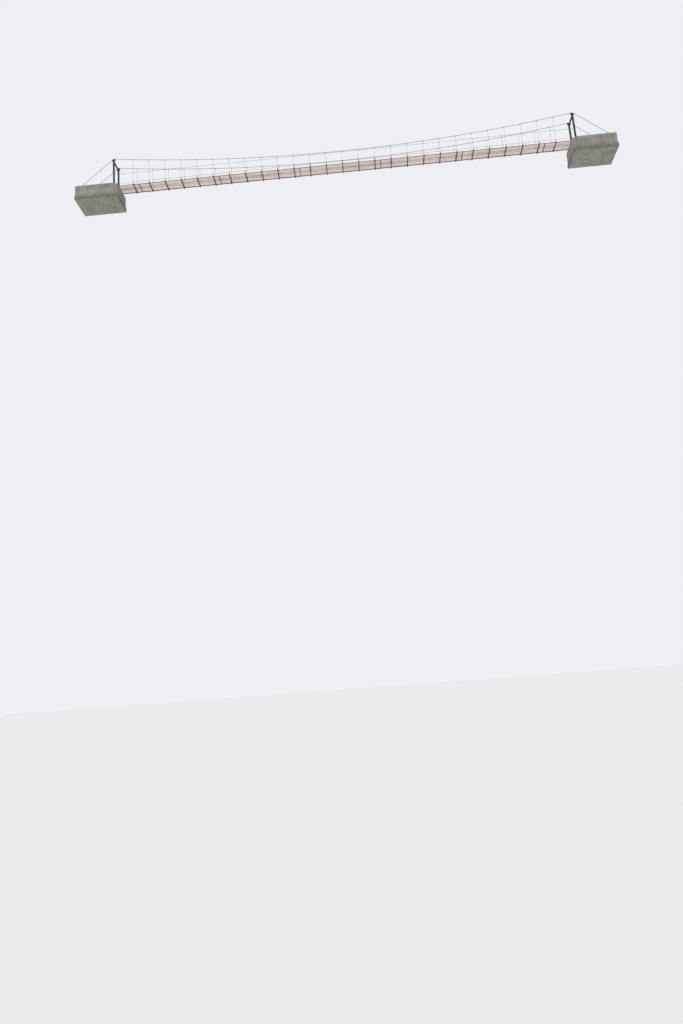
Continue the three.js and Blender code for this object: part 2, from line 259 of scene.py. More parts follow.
class Finish:
    """A procedural material on one principled shader, in the model's own metres."""

    def __init__(self, name):
        self.material = bpy.data.materials.new(name)
        self.material.use_nodes = True
        self.tree = self.material.node_tree
        self.tree.nodes.clear()
        self.shader = self.tree.nodes.new("ShaderNodeBsdfPrincipled")
        self.output = self.tree.nodes.new("ShaderNodeOutputMaterial")
        self.tree.links.new(self.shader.outputs[0], self.output.inputs[0])
        self.place = self.node("ShaderNodeTexCoord", output="Object")
        self.x, self.y, self.z = self.split(self.place)

    def node(self, kind, settings=None, sockets=None, output=0):
        """Makes a node, sets it, feeds its sockets, and gives one of its outputs."""
        node = self.tree.nodes.new(kind)
        for key, setting in (settings or {}).items():
            setattr(node, key, setting)
        for key, value in (sockets or {}).items():
            self.feed(node.inputs[key], value)
        return Value(self, node.outputs[output])

    def feed(self, socket, value):
        """Links a value to a socket, or sets a plain number, vector or colour on it."""
        if isinstance(value, Value):
            self.tree.links.new(value.socket, socket)
        elif socket.type == "RGBA":
            socket.default_value = (*value, 1.0)
        else:
            socket.default_value = value

    def split(self, vector):
        """The three parts of a vector or a colour."""
        parts = self.node("ShaderNodeSeparateXYZ", None, {0: vector}).socket.node.outputs
        return [Value(self, part) for part in parts]

    def stretched(self, x, y, z):
        """The place with each axis scaled: a number below 1 draws a pattern out along that axis."""
        return self.node("ShaderNodeMapping", None, {"Vector": self.place, "Scale": (x, y, z)})

    def noise(self, scale, detail=4.0, roughness=0.55, place=None, output=0):
        sockets = {
            "Vector": place or self.place,
            "Scale": scale,
            "Detail": detail,
            "Roughness": roughness,
        }
        return self.node("ShaderNodeTexNoise", None, sockets, output)

    def cells(self, scale, output="Distance"):
        return self.node("ShaderNodeTexVoronoi", None, {"Vector": self.place, "Scale": scale}, output)

    def step(self, value, low, high):
        """0 up to low, 1 from high on, and smooth in between."""
        sockets = {"Value": value, "From Min": low, "From Max": high}
        return self.node("ShaderNodeMapRange", {"interpolation_type": "SMOOTHSTEP"}, sockets)

    def maths(self, operation, first, second=0.0):
        return self.node("ShaderNodeMath", {"operation": operation}, {0: first, 1: second})

    def larger(self, first, second):
        return self.maths("MAXIMUM", first, second)

    def distance(self, first, second):
        return self.maths("ABSOLUTE", first - second)

    def mix(self, share, first, second):
        """The first colour where share is 0 and the second where it is 1."""
        return self.node("ShaderNodeMix", {"data_type": "RGBA"}, {0: share, 6: first, 7: second}, 2)

    def darkened(self, share, colour, by=0.6):
        """The colour, multiplied by a number below 1 where share is 1."""
        return self.mix(share, colour, self.tinted(colour, by))

    def tinted(self, colour, by):
        if not isinstance(colour, Value):
            return tuple(part * by for part in colour)
        return self.node("ShaderNodeVectorMath", {"operation": "SCALE"}, {0: colour, "Scale": by})

    def upward(self):
        """How far up a face looks: 1 straight up, 0 sideways and -1 straight down."""
        return self.split(self.node("ShaderNodeNewGeometry", output="Normal"))[2]

    def facing_up(self, low=0.3, high=0.8):
        """1 on level faces that look up, 0 on walls and undersides unless low is below 0."""
        return self.step(self.upward(), low, high)

    def facing_aside(self):
        """1 on walls, 0 on level faces."""
        return 1.0 - self.step(self.maths("ABSOLUTE", self.upward()), 0.3, 0.8)

    def bump(self, height, distance):
        return self.node("ShaderNodeBump", None, {"Height": height, "Distance": distance})

    def finish(self, **sockets):
        """Feeds the shader's sockets, which are named with underscores, and gives the material."""
        for name, value in sockets.items():
            self.feed(self.shader.inputs[name.replace("_", " ").title().replace("Ior", "IOR")], value)
        return self.material


# Finishes.


def weathered_concrete():
    """Board-marked cast concrete with air holes, rain streaks, hairline cracks and moss at its foot."""
    look = Finish("weathered_concrete")
    wall = look.facing_aside()
    level = look.facing_up()
    board = (look.z - LOWEST_BOARD_Z) / BOARD_HEIGHT
    board_number = look.maths("FLOOR", board)
    seam = look.step(look.distance(board - board_number, 0.5), 0.465, 0.492) * wall
    board_tone = look.node("ShaderNodeTexWhiteNoise", {"noise_dimensions": "1D"}, {"W": board_number})
    grain = look.noise(26, 6, 0.6, look.stretched(0.25, 0.25, 4.0)) * wall
    mottling = look.step(look.noise(1.6, 8, 0.62), 0.36, 0.68)
    fine = look.noise(85, 4, 0.7)
    holes = 1.0 - look.step(look.cells(21), 0.045, 0.085)
    holes = holes * look.step(look.noise(5, 2), 0.44, 0.56)
    streaks = look.step(look.noise(3.4, 7, 0.6, look.stretched(3.2, 3.2, 0.16)), 0.47, 0.70)
    streaks = streaks * wall * look.step(look.z, 0.05, 1.15)
    damp = (1.0 - look.step(look.z + look.noise(3, 4) * 0.35, 0.28, 0.62)) * wall
    pools = look.step(look.noise(2.3, 6, 0.6), 0.5, 0.66) * level
    low = 1.0 - look.step(look.z, 0.12, 0.52)
    moss = look.step(look.noise(7.5, 8, 0.7), 0.50, 0.60) * look.larger(low, pools * 0.55)
    cracks = hairline_cracks(look)

    colour = look.darkened(mottling, colours().concrete, 0.74)
    colour = look.darkened(board_tone * wall * 0.35, colour, 0.7)
    colour = look.darkened(look.step(fine, 0.42, 0.66) * 0.4, colour, 0.66)
    for wet, strength in ((streaks, 0.72), (pools, 0.5), (damp, 0.55)):
        colour = look.mix(wet * strength, colour, colours().stain)
    colour = look.darkened(look.larger(seam * 0.6, cracks * 0.5), colour, 0.45)
    # The air holes are darkened: painted shade inside the pits.
    colour = look.darkened(holes * 0.7, colour, 0.35)
    colour = look.mix(moss * 0.85, colour, colours().moss)
    height = grain * 0.25 + fine * 0.16 + moss * fine * 0.9 - seam * 0.7 - holes * 0.8 - cracks * 0.5
    return look.finish(
        base_color=colour,
        roughness=0.93 - damp * 0.16 - pools * 0.12,
        normal=look.bump(height, 0.006),
    )


def hairline_cracks(look):
    """1 along a few thin lines that wander over the concrete, 0 beside them."""
    wander = look.noise(2.2, 6, 0.62, output="Color")
    bend = {0: wander, 1: (0.5, 0.5, 0.5), 2: look.place}
    bent = look.node("ShaderNodeVectorMath", {"operation": "MULTIPLY_ADD"}, bend)
    cells = {"Vector": bent, "Scale": 0.8}
    edges = look.node("ShaderNodeTexVoronoi", {"feature": "DISTANCE_TO_EDGE"}, cells)
    return (1.0 - look.step(edges, 0.0, 0.0035)) * look.step(look.noise(0.9, 2), 0.5, 0.6)


def dark_painted_steel(name="dark_painted_steel", rust_level=0.0):
    """Old dark paint, chalky on top, with rust breaking through and running down."""
    look = Finish(name)
    rust = look.step(look.noise(5.5, 9, 0.66) - 0.03 + rust_level, 0.56, 0.63)
    specks = look.step(look.noise(70, 3, 0.5) + rust_level * 0.5, 0.66, 0.72)
    runs = look.step(look.noise(8, 6, 0.55, look.stretched(4.0, 4.0, 0.35)) + rust_level, 0.60, 0.74)
    rust = look.larger(rust, look.larger(specks * 0.8, runs * 0.55))
    dust = look.step(look.noise(11, 5, 0.6), 0.40, 0.75) * look.facing_up()
    brush = look.noise(40, 3, 0.5, look.stretched(0.2, 1.0, 1.0))
    depth = look.noise(34, 5, 0.7)
    rust_colour = look.darkened(look.step(depth, 0.35, 0.65), colours().rust, 0.35)
    colour = look.darkened(look.step(brush, 0.35, 0.7) * 0.5, colours().paint)
    colour = look.mix(rust * 0.85, colour, rust_colour)
    colour = look.mix(dust * 0.35, colour, colours().stain)
    height = rust * (0.4 + depth * 0.5) + brush * 0.12
    return look.finish(
        base_color=colour,
        roughness=0.5 + rust * 0.36 + dust * 0.15 + brush * 0.08,
        specular_ior_level=0.3,
        normal=look.bump(height, 0.0012),
    )


def weathered_and_sky_lit_mesh():
    """Rusted expanded steel: tan below, darker on its sides and top, dirty in the trodden strip. The tan
    below is dusty rust brightened with painted light, for the sky that glows on the strands.
    """
    look = Finish("weathered_and_sky_lit_deck_mesh")
    # Faces that look down keep the bright tan, which is partly painted light; the sides and the top take
    # the darker worn colour.
    top = look.facing_up(-0.6, 0.4)
    strip = 1.0 - look.step(look.distance(look.y, TRODDEN_MIDDLE), 0.08, 0.24)
    strip = strip * (0.55 + look.step(look.noise(0.5, 3), 0.35, 0.6) * 0.45)
    worn = look.step(look.noise(46, 5, 0.65), 0.45, 0.7)
    patches = look.step(look.noise(2.6, 7, 0.6), 0.38, 0.66)
    scale = look.step(look.noise(19, 8, 0.7), 0.56, 0.66)
    colour = look.darkened(patches * 0.5, colours().mesh, 0.66)
    colour = look.darkened(worn * 0.4, colour)
    colour = look.mix(scale * 0.6, colour, colours().rust)
    colour = look.mix(top * (0.97 - patches * 0.12), colour, colours().trodden)
    colour = look.mix(strip * 0.5, colour, look.tinted(colours().dirt, 0.8))
    return look.finish(
        base_color=colour,
        roughness=0.84 - worn * 0.14 - top * 0.12,
        specular_ior_level=0.18,
        normal=look.bump(worn * 0.7 + look.noise(160, 3) * 0.3, 0.0006),
    )


def packed_dirt():
    """Dry crumbs of earth stuck in the deck mesh, darker on top."""
    look = Finish("packed_dirt")
    crumbs = look.step(look.cells(240), 0.2, 0.6)
    clods = look.noise(90, 5, 0.7)
    colour = look.darkened(crumbs * 0.6, colours().dirt)
    colour = look.mix(look.step(clods, 0.55, 0.7) * 0.35, colour, colours().rust)
    colour = look.mix(look.facing_up() * 0.75, colour, colours().trodden)
    return look.finish(
        base_color=colour,
        roughness=0.9 + clods * 0.08,
        normal=look.bump(clods + crumbs * 0.5, 0.002),
    )


def greased_rope():
    """Drawn steel wire in dried grease, with fine wire lines and rust in places."""
    look = Finish("weathered_wire_rope")
    wires = look.noise(420, 2, 0.5, look.stretched(0.35, 1.0, 1.0))
    grease = look.step(look.noise(3.5, 7, 0.6), 0.40, 0.66)
    rust = look.step(look.noise(9, 8, 0.7), 0.57, 0.68)
    colour = look.darkened(look.step(wires, 0.42, 0.62) * 0.75, colours().rope, 0.4)
    colour = look.darkened(grease * 0.7, colour, 0.45)
    colour = look.mix(rust * 0.55, colour, colours().rust)
    return look.finish(
        base_color=colour,
        roughness=0.5 + rust * 0.3 + wires * 0.12 - grease * 0.08,
        metallic=0.75 - rust * 0.55 - grease * 0.2,
        normal=look.bump(wires, 0.0006),
    )


def galvanised_steel(name, shade):
    """Hot-dip zinc with faint spangle, white bloom and rust that starts at the edges."""
    look = Finish(name)
    spangle = look.split(look.cells(95, "Color"))[0]
    bloom = look.step(look.noise(13, 8, 0.65), 0.46, 0.70)
    rust = look.step(look.noise(18, 8, 0.7), 0.60, 0.69)
    colour = look.darkened(spangle * 0.45, look.tinted(colours().zinc, shade), 0.62)
    colour = look.mix(bloom * 0.35, colour, look.tinted((0.62, 0.62, 0.62), shade))
    colour = look.mix(rust * 0.6, colour, colours().rust)
    return look.finish(
        base_color=colour,
        roughness=0.42 + spangle * 0.12 + bloom * 0.25 + rust * 0.2,
        metallic=0.85 - bloom * 0.45 - rust * 0.5,
        normal=look.bump(spangle * 0.2 + rust * 0.6 + look.noise(120, 3) * 0.2, 0.0008),
    )


made_finishes = {}


def finish_of(maker, *arguments):
    """Each finish is made once and shared by the pieces that wear it."""
    key = (maker.__name__, *arguments)
    if key not in made_finishes:
        made_finishes[key] = maker(*arguments)
    return made_finishes[key]


def new_zinc():
    """The zinc on the fittings at the bridge's ends."""
    return finish_of(galvanised_steel, "galvanised_steel", 1.0)


def aged_zinc():
    """The darker zinc on the ropes' and the deck's fittings."""
    return finish_of(galvanised_steel, "aged_zinc_fittings", 0.6)


def dress_node(name, material):
    """Gives a solid of the model that keeps its own shape its finish."""
    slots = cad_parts[name].data.materials
    slots.clear()
    slots.append(material)


# Mesh making.

# The signs of a rectangle's corners, in order round it.
CORNER_SIGNS = ((-1, -1), (1, -1), (1, 1), (-1, 1))


class Shape:
    """Corners and faces that add up to one mesh."""

    def __init__(self):
        self.corners = []
        self.faces = []

    def add(self, corners, faces):
        start = len(self.corners)
        self.corners.extend(corners)
        self.faces.extend([start + corner for corner in face] for face in faces)
        return self

    def join(self, other, place=None):
        """Adds another shape, turned and moved by a matrix where one is given."""
        corners = other.corners if place is None else [place @ Vector(c) for c in other.corners]
        return self.add(corners, other.faces)

    def rings(self, rings):
        """A skin over rings of corners of the same count, capped at both ends."""
        count = len(rings[0])
        last = (len(rings) - 1) * count
        faces = []
        for here in range(0, last, count):
            there = here + count
            for i in range(count):
                j = (i + 1) % count
                faces.append([here + i, here + j, there + j, there + i])
        faces.append(list(range(count))[::-1])
        faces.append([last + i for i in range(count)])
        return self.add([corner for ring in rings for corner in ring], faces)

    def upright(self, x, y, levels):
        """A skin over (outline, height) pairs, round an upright line."""
        return self.rings([[(x + a, y + b, z) for a, b in outline] for outline, z in levels])

    def box(self, low, high):
        (x0, y0, z0), (x1, y1, z1) = low, high
        outline = [(x0, y0), (x1, y0), (x1, y1), (x0, y1)]
        return self.upright(0, 0, [(outline, z0), (outline, z1)])

    def block(self, centre, size, chamfer=0.0):
        """A box around its centre, with its upper and lower rims chamfered."""
        x, y, z = centre
        half_x, half_y, half_z = (part / 2 for part in size)
        outline = [(x + a * half_x, y + b * half_y) for a, b in CORNER_SIGNS]
        return self.slab(outline, z - half_z, z + half_z, chamfer, lambda a, b, level: (a, b, level))

    def rod(self, start, end, radius, sides=12):
        """A round or cornered bar between two points."""
        return self.turned(start, end, [(0.0, radius), (1.0, radius)], sides)

    def turned(self, start, end, profile, sides=12):
        """A bar whose radius follows (share of the length, radius) pairs."""
        start = Vector(start)
        along = Vector(end) - start
        one = along.orthogonal().normalized()
        other = along.normalized().cross(one)
        angles = [math.tau * i / sides for i in range(sides)]
        rings = []
        for share, radius in profile:
            centre = start + along * share
            rings.append([centre + radius * (math.cos(a) * one + math.sin(a) * other) for a in angles])
        return self.rings(rings)

    def thread(self, start, end, root, crest, steps):
        """A threaded bar, whose radius goes back and forth between crest and root."""
        ridges = [(i / steps, root if i % 2 else crest) for i in range(steps + 1)]
        return self.turned(start, end, ridges, 10)

    def bolt(self, start, end, radius, nut_at_end=True):
        """A hexagon bolt with washers. Its head is at start and its nut just short of end."""
        start = Vector(start)
        end = Vector(end)
        one_radius = (end - start).normalized() * radius
        self.rod(start, end, radius, 8)
        self.rod(start - one_radius * 1.3, start, radius * 1.9, 6)
        self.rod(start, start + one_radius * 0.35, radius * 2.3, 12)
        if nut_at_end:
            seat = end - one_radius * 2.6
            self.rod(seat, seat + one_radius * 1.6, radius * 1.9, 6)
            self.rod(seat - one_radius * 0.35, seat, radius * 2.3, 12)
        return self

    def plate(self, outline, middle, thickness, across="y", chamfer=0.0):
        """A flat plate: a side-view outline of (x, z) or, across x, (y, z) points, around middle."""
        low = middle - thickness / 2
        high = middle + thickness / 2
        if across == "y":
            return self.slab(outline, low, high, chamfer, lambda a, b, level: (a, level, b))
        return self.slab(outline, low, high, chamfer, lambda a, b, level: (level, a, b))

    def slab(self, outline, low, high, chamfer, corner):
        """An outline carried from low to high, with chamfered rims. corner puts its points in space."""
        levels = [(low, 0.0), (high, 0.0)]
        if chamfer:
            levels = [(low, chamfer), (low + chamfer, 0.0), (high - chamfer, 0.0), (high, chamfer)]
        return self.rings([[corner(a, b, level) for a, b in inset(outline, by)] for level, by in levels])


def inset(outline, by):
    """A convex outline drawn in by a distance on every side."""
    if not by:
        return outline
    area = sum(a * d - b * c for (a, b), (c, d) in zip(outline, outline[1:] + outline[:1]))
    inward = 1.0 if area > 0 else -1.0
    drawn = []
    for before, here, after in zip(outline[-1:] + outline[:-1], outline, outline[1:] + outline[:1]):
        into = (Vector(here) - Vector(before)).normalized()
        out = (Vector(after) - Vector(here)).normalized()
        sideways = Vector((-into.y - out.y, into.x + out.x)) * inward
        drawn.append(Vector(here) + sideways * by / (1.0 + into.dot(out)))
    return [tuple(point) for point in drawn]


def arc(start, end, steps):
    """Evenly spaced angles between two, given in degrees."""
    return [math.radians(start + (end - start) * i / steps) for i in range(steps + 1)]


def rounded_square(side, radius, steps=4):
    """The outline of a square with rounded corners, around (0, 0)."""
    half = side / 2 - radius
    outline = []
    for number, (cx, cy) in enumerate(((half, half), (-half, half), (-half, -half), (half, -half))):
        outline += [
            (cx + radius * math.cos(a), cy + radius * math.sin(a))
            for a in arc(90 * number, 90 * number + 90, steps)
        ]
    return outline


def bolt_places(half_length, half_width):
    """The places of four bolts around (0, 0)."""
    return [(x, y) for x in (-half_length, half_length) for y in (-half_width, half_width)]


def piece(name, shape, material, replaced=(), sharp=35.0, bevel=0.0, facing_out=False):
    """Makes a shape into a piece that rides with the bridge, and hides any solids it stands for."""
    mesh = bpy.data.meshes.new(name)
    mesh.from_pydata(shape.corners, [], shape.faces)
    mesh.validate()
    if not facing_out:
        turn_faces_out(mesh)
    mesh.materials.append(material)
    mesh.polygons.foreach_set("use_smooth", [sharp > 0] * len(mesh.polygons))
    if sharp > 0:
        mesh.set_sharp_from_angle(angle=math.radians(sharp))
    mesh.update()
    made = bpy.data.objects.new(name, mesh)
    bpy.context.scene.collection.objects.link(made)
    if bevel:
        rounding = made.modifiers.new("rounded edges", "BEVEL")
        rounding.width = bevel
        rounding.segments = 1
        rounding.limit_method = "ANGLE"
        rounding.angle_limit = math.radians(40)
    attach(made, "root")
    if replaced:
        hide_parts(*replaced)


def turn_faces_out(mesh):
    """Turns each closed part's faces so that they look outwards."""
    build = bmesh.new()
    build.from_mesh(mesh)
    bmesh.ops.recalc_face_normals(build, faces=build.faces)
    build.to_mesh(mesh)
    build.free()


# Places along the bridge.


def turned_end(end):
    """The turn that takes what is drawn for the right-hand end to the end asked for."""
    return Matrix.Rotation(math.pi, 4, "Z") if end == "left" else Matrix.Identity(4)


def swapped(end, side):
    """The side on which a piece has to be built so that it lands on the asked side after the turn."""
    return -SIDES[side] if end == "left" else SIDES[side]


def ends_and_sides(y):
    """For each end and side: the start of its nodes' names, the end's turn, and y before that turn."""
    return [(f"{end}_{side}", turned_end(end), swapped(end, side) * y) for end in ENDS for side in SIDES]


def hanger_places():
    """The x of each crossbeam that has hangers. The two end ones sit on the abutments."""
    return [k * BAY for k in range(1 - BAYS_EACH_WAY, BAYS_EACH_WAY)]


def main_rope_height(x):
    return DECK_TOP + ROPE_LOW + ROPE_RISE * (x / BAY) ** 2


def main_rope_lean(x):
    """The angle at which the main rope rises there."""
    return math.atan(2 * ROPE_RISE * x / BAY**2)


def saddle_arc():
    """The (x, z) points where the main rope bends over the right-hand saddle."""
    lean = main_rope_lean(BAYS_EACH_WAY * BAY)
    reach_front = SADDLE_RADIUS * math.sin(lean)
    reach_back = SADDLE_RADIUS * math.sin(BACKSTAY_ANGLE)
    centre_x = POST_X - (reach_back - reach_front) / 2
    centre_z = main_rope_height(centre_x - reach_front) - SADDLE_RADIUS * math.cos(lean)
    return [
        (centre_x + SADDLE_RADIUS * math.sin(a), centre_z + SADDLE_RADIUS * math.cos(a))
        for a in arc(-math.degrees(lean), math.degrees(BACKSTAY_ANGLE), 10)
    ]


def anchor_eye_x():
    """Where the right-hand backstay, drawn straight on from the saddle, comes down to its pin's height."""
    x, z = saddle_arc()[-1]
    return x + (z - EYE_Z) / math.tan(BACKSTAY_ANGLE)


def main_route(y):
    """A main rope's way from socket to socket, over both saddles and through the clamps."""
    end_x = anchor_eye_x() - ROPE_END * math.cos(BACKSTAY_ANGLE)
    end_z = EYE_Z + ROPE_END * math.sin(BACKSTAY_ANGLE)
    right = [*saddle_arc(), (end_x, end_z)]
    left = [(-x, z) for x, z in right[::-1]]
    span = [(x, main_rope_height(x)) for x in hanger_places()]
    return [Vector((x, y, z)) for x, z in [*left, *span, *right]]


# Ropes.


def laid_rope(route, radius, rings_per_turn, corners_per_strand):
    """Strands twisted round a core, along a route that stays in one upright plane."""
    lay = sizes().lay_ratio * 2 * radius
    profile = strand_backs(radius, sizes().strands, corners_per_strand)
    across = Vector((0.0, 1.0, 0.0))
    rings = []
    travelled = 0.0
    for start, end in zip(route, route[1:]):
        run = end - start
        up = run.normalized().cross(across) * -1.0
        pieces = max(1, round(run.length / lay * rings_per_turn))
        for i in range(pieces):
            share = i / pieces
            turn = (travelled + run.length * share) / lay * math.tau
            rings.append(rope_ring(start + run * share, up, across, profile, turn))
        travelled += run.length
    rings.append(rope_ring(route[-1], up, across, profile, travelled / lay * math.tau))
    return Shape().rings(rings)


def strand_backs(radius, strands, corners):
    """The reach from the rope's middle to its skin, at each corner of each strand's round back."""
    spacing = math.tau / strands
    middle = 2 * radius / 3
    reaches = []
    for i in range(strands * corners):
        off_crest = abs((i / corners) % 1.0 - 0.5) * spacing
        rest = max((radius / 3) ** 2 - (middle * math.sin(off_crest)) ** 2, 0.0)
        reaches.append(middle * math.cos(off_crest) + math.sqrt(rest))
    return reaches


def rope_ring(centre, up, across, profile, turn):
    """The rope's outline at one place, turned by as much as the strands have twisted up to there."""
    step = math.tau / len(profile)
    return [
        centre + reach * (math.cos(turn + i * step) * up + math.sin(turn + i * step) * across)
        for i, reach in enumerate(profile)
    ]


class BuildMainRopes(Operator):
    """Lay the two main ropes from anchor to anchor, with their forked sockets"""

    bl_idname = "footbridge.main_ropes"
    bl_label = "Main ropes"

    def execute(self, context):
        for side, sign in SIDES.items():
            node = f"{side}_main_rope"
            rope = laid_rope(main_route(sign * ROPE_Y), sizes().rope_radius, 11, 3)
            piece(f"{node}_strands", rope, finish_of(greased_rope), [node], sharp=60)
            sockets = Shape()
            for end in ENDS:
                sockets.join(forked_socket(swapped(end, side) * ROPE_Y), turned_end(end))
            zinc = aged_zinc()
            piece(f"{side}_backstay_sockets", sockets, zinc, [node], bevel=0.002)
        return {"FINISHED"}


def forked_socket(y):
    """The fork, cone and pin on a right-hand backstay's lower end, drawn along +X from the pin."""
    half_depth = 0.028
    fork_end = 0.11
    round_end = -0.007
    cheek = [(round_end - half_depth * math.cos(a), half_depth * math.sin(a)) for a in arc(90, -90, 6)]
    cheek += [(fork_end, -half_depth), (fork_end, half_depth)]
    shape = Shape()
    for sign in (-1, 1):
        shape.plate(cheek, sign * 0.0166, 0.012)
    shape.block((0.098, 0, 0), (0.044, 0.0485, 0.0595), 0.0015)
    cone = [(0, 0.0226), (0.12, 0.0226), (0.8, 0.0165), (1, 0.0155)]
    shape.turned((fork_end, 0, 0), (0.25, 0, 0), cone, 16)
    # The pin, its head and the split pin through its end.
    shape.rod((0, -0.031, 0), (0, 0.031, 0), 0.012, 16)
    shape.rod((0, -0.034, 0), (0, -0.026, 0), 0.018, 16)
    shape.rod((-0.02, 0.0275, 0), (0.02, 0.0275, 0), 0.002, 6)
    turn = Matrix.Rotation(-(math.pi - BACKSTAY_ANGLE), 4, "Y")
    return Shape().join(shape, Matrix.Translation((anchor_eye_x(), y, EYE_Z)) @ turn)


class BuildHandrails(Operator):
    """Lay the handrail ropes, with a clip at each hanger and a pressed ferrule at each end"""

    bl_idname = "footbridge.handrails"
    bl_label = "Handrail ropes"

    def execute(self, context):
        end = POST_FACE - TURNBUCKLE_LENGTH
        ferrule = [(0, 0.0088), (0.12, 0.011), (0.9, 0.011), (1, 0.0085)]
        for side, sign in SIDES.items():
            y = sign * HANDRAIL_Y
            node = f"{side}_handrail"
            route = [Vector((-end, y, HANDRAIL_Z)), Vector((end, y, HANDRAIL_Z))]
            rope = laid_rope(route, sizes().handrail_radius, 9, 2)
            piece(f"{node}_strands", rope, finish_of(greased_rope), [node], sharp=60)
            clips = Shape()
            for x in hanger_places():
                clips.join(handrail_clip(sign), Matrix.Translation((x, 0, HANDRAIL_Z)))
            for direction in (-1, 1):
                start = (direction * (end - 0.07), y, HANDRAIL_Z)
                clips.turned(start, (direction * end, y, HANDRAIL_Z), ferrule, 14)
            piece(f"{node}_clips", clips, aged_zinc(), [node])
        return {"FINISHED"}


def handrail_clip(sign):
    """A pressed clip that holds the handrail rope against the inside of the rod."""
    shape = Shape()
    middle = sign * (HANDRAIL_Y + ROPE_Y) / 2
    for z in (-0.0105, 0.0105):
        shape.block((0, middle, z), (0.034, 0.042, 0.003))
    for y in (HANDRAIL_Y - 0.0105, ROPE_Y + 0.0105):
        shape.block((0, sign * y, 0), (0.034, 0.003, 0.024))
    for x in (0.0125, -0.0125):
        shape.bolt((x, middle, 0.013), (x, middle, -0.018), 0.003)
    return shape


class BuildTurnbuckles(Operator):
    """Fit the tighteners between the handrail ropes and the portal posts"""

    bl_idname = "footbridge.turnbuckles"
    bl_label = "Handrail turnbuckles"

    def execute(self, context):
        for corner, turn, y in ends_and_sides(HANDRAIL_Y):
            node = f"{corner}_turnbuckle"
            shape = Shape().join(turnbuckle(), turn @ Matrix.Translation((POST_FACE, y, HANDRAIL_Z)))
            piece(f"{node}_fitting", shape, new_zinc(), [node], bevel=0.0015)
        return {"FINISHED"}


def turnbuckle():
    """An open tightener that ends at x = 0 on a bolted eye plate."""
    shape = Shape()
    middle = -TURNBUCKLE_LENGTH / 2
    for z in (-0.014, 0.014):
        shape.rod((middle - 0.066, 0, z), (middle + 0.066, 0, z), 0.0042, 10)
    boss = [(0, 0.010), (0.25, 0.0165), (0.8, 0.0165), (1, 0.012)]
    for direction in (-1, 1):
        boss_start, boss_end, rod_start, rod_end = (
            (middle + direction * reach, 0, 0) for reach in (0.054, 0.076, 0.025, 0.125)
        )
        shape.turned(boss_start, boss_end, boss, 14)
        shape.thread(rod_start, rod_end, 0.0056, 0.0066, 20)
    # The end that takes the rope, the neck of the eye plate, and the plate.
    shape.rod((-TURNBUCKLE_LENGTH, 0, 0), (-0.27, 0, 0), 0.0075, 12)
    shape.rod((-0.03, 0, 0), (-0.008, 0, 0), 0.0095, 12)
    shape.block((-0.005, 0, 0), (0.01, 0.072, 0.072))
    for y, z in bolt_places(0.026, 0.026):
        shape.bolt((-0.01, y, z), (0.0, y, z), 0.004, nut_at_end=False)
    return shape


# Hangers.


class BuildHangers(Operator):
    """Hang the rods from clamps on the main ropes, and bolt their feet to the crossbeams"""

    bl_idname = "footbridge.hangers"
    bl_label = "Hangers"

    def execute(self, context):
        for side, sign in SIDES.items():
            clamps = Shape()
            rods = Shape()
            feet = Shape()
            for x in hanger_places():
                height = main_rope_height(x)
                place = Matrix.Translation((x, sign * ROPE_Y, 0))
                at_rope = Matrix.Translation((x, sign * ROPE_Y, height))
                clamps.join(rope_clamp(), at_rope @ Matrix.Rotation(-main_rope_lean(x), 4, "Y"))
                rods.join(hanger_rod(height), place)
                feet.join(hanger_foot(sign), place)
            node = f"{side}_main_rope"
            dark = finish_of(dark_painted_steel, "dark_steel_feet", 0.04)
            piece(f"{side}_rope_clamps", clamps, aged_zinc(), [node])
            piece(f"{side}_hanger_rods", rods, aged_zinc(), [node])
            piece(f"{side}_hanger_feet", feet, dark, [node])
        return {"FINISHED"}


def rope_clamp():
    """A pair of grooved halves bolted round the main rope, with a boss below for the rod."""
    shape = Shape()
    for z in (0.0135, -0.0135):
        shape.block((0, 0, z), (0.06, 0.042, 0.013), 0.002)
    shape.rod((-0.027, 0, 0), (0.027, 0, 0), 0.0165, 16)
    shape.rod((0, 0, -0.04), (0, 0, -0.018), 0.014, 12)
    for x, y in bolt_places(0.021, 0.0165):
        shape.bolt((x, y, 0.021), (x, y, -0.031), 0.0038)
    return shape


def hanger_rod(rope_height):
    """A round rod, threaded and held by a pair of nuts at the top where the handrail leaves room."""
    top = rope_height - 0.024
    shape = Shape().rod((0, 0, BEAM_BOTTOM + 0.14), (0, 0, top), 0.008, 10)
    if rope_height - HANDRAIL_Z < 0.1:
        return shape
    for nut in (0.034, 0.052):
        shape.rod((0, 0, top - nut), (0, 0, top - nut + 0.014), 0.0145, 6)
    return shape.thread((0, 0, top - 0.12), (0, 0, top - 0.052), 0.0084, 0.0095, 16)


def hanger_foot(sign):
    """The flat foot that takes the rod in a welded slot and is bolted to the crossbeam."""
    low = BEAM_BOTTOM
    half_width = 0.03
    shoulder = low + 0.165
    outline = [(-half_width, low), (half_width, low), (half_width, shoulder)]
    outline += [(half_width * math.cos(a), shoulder + 0.034 * math.sin(a)) for a in arc(20, 160, 6)]
    outline.append((-half_width, shoulder))
    shape = Shape().plate(outline, 0.0, 0.008, chamfer=0.0012)
    shape.rod((0, 0, low + 0.13), (0, 0, low + 0.2), 0.0105, 10)
    for height in (0.022, 0.060):
        shape.bolt((0.003, sign * 0.0045, low + height), (0.003, sign * -0.03, low + height), 0.0075)
    # The plate in the crossbeam's open end, which the bolts go through.
    shape.block((0.0, sign * -0.0095, low + 0.04), (0.05, 0.007, 0.076), 0.001)
    return shape


# Deck.


